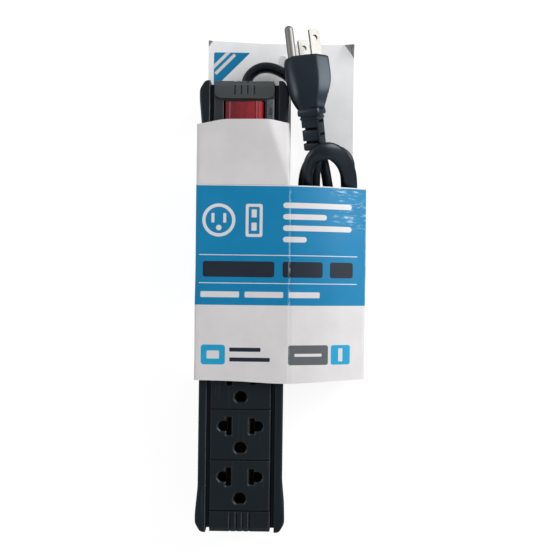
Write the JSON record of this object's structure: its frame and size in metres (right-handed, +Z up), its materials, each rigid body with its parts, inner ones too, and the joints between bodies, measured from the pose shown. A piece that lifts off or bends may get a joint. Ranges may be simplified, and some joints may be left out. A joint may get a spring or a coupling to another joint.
{
  "type": "power strip with folded cord in a card sleeve",
  "caption": "Long low power strip with a red rocker switch, flat folded cord and moulded plug, in a blue and white card sleeve that slides off.",
  "frame": {"origin": "on the plane the card rests on, under the middle of the strip", "axes": "+Y along the strip towards its switch and cord, +Z up out of the outlets, +X to the right seen from above"},
  "size_m": [0.0949, 0.2794, 0.0448],
  "materials": {
    "black_plastic": "moulded black, fine satin",
    "grey_plastic": "moulded dark grey",
    "switch_plastic": "moulded black",
    "red_lens": "translucent red, polished",
    "brass": "stamped strip",
    "contact_copper": "stamped copper alloy",
    "bimetal": "rolled strip",
    "nickel_brass": "nickel plated",
    "steel": "zinc plated",
    "lamp_glass": "clear",
    "resistor_coat": "lacquered",
    "cord_pvc": "soft black PVC",
    "wire_black": "PVC insulation",
    "wire_white": "PVC insulation",
    "wire_green": "PVC insulation",
    "wire_red": "PVC insulation",
    "card": "coated white card with blue print"
  },
  "bodies": {
    "strip": {"base_shell": "black_plastic", "switch_panel": "black_plastic", "end_cap": "black_plastic", "outlet_face_1": "black_plastic", "outlet_face_2": "black_plastic", "outlet_face_3": "black_plastic", "outlet_face_4": "black_plastic", "outlet_face_5": "black_plastic", "outlet_face_6": "black_plastic", "cord_hood": "grey_plastic", "live_busbar": "brass", "neutral_busbar": "brass", "earth_busbar": "brass", "housing_screws": "steel", "clamp_screws": "steel", "switch_body": "switch_plastic", "switch_terminals": "contact_copper", "breaker_bimetal": "bimetal", "indicator_lamp": "lamp_glass", "lamp_resistor": "resistor_coat", "cord_gland": "cord_pvc", "cord_inner_end": "cord_pvc", "cord_clamp": "grey_plastic", "live_wire": "wire_black", "neutral_wire": "wire_white", "earth_wire": "wire_green", "switched_wire": "wire_red", "plug_body": "cord_pvc", "prong_bridge": "grey_plastic", "live_blade": "nickel_brass", "neutral_blade": "nickel_brass", "ground_pin": "nickel_brass", "cord_lead": "cord_pvc", "cord_tail": "cord_pvc", "cord_hank": "cord_pvc"},
    "rocker": {"rocker": "red_lens", "rocker_plunger": "steel", "plunger_spring": "steel"},
    "contact_arm": {"contact_arm": "contact_copper"},
    "sleeve": {"backing_card": "card", "upper_wrap": "card", "lower_wrap": "card"}
  },
  "joints": [
    {"name": "rocker_hinge", "type": "hinge", "parent": "strip", "child": "rocker", "pos_m": [0, 0.1048, 0.0304], "axis": [0, 1, 0], "range_deg": [0, 14]},
    {"name": "contact_hinge", "type": "hinge", "parent": "strip", "child": "contact_arm", "pos_m": [0, 0.1048, 0.01885], "axis": [0, 1, 0], "range_deg": [-11, 0]},
    {"name": "sleeve_slide", "type": "slide", "parent": "strip", "child": "sleeve", "axis": [0, -1, 0], "range_m": [0, 0.285]}
  ],
  "couplings": [
    {"joint": "contact_hinge", "follows": "rocker_hinge", "ratio": -0.714}
  ]
}
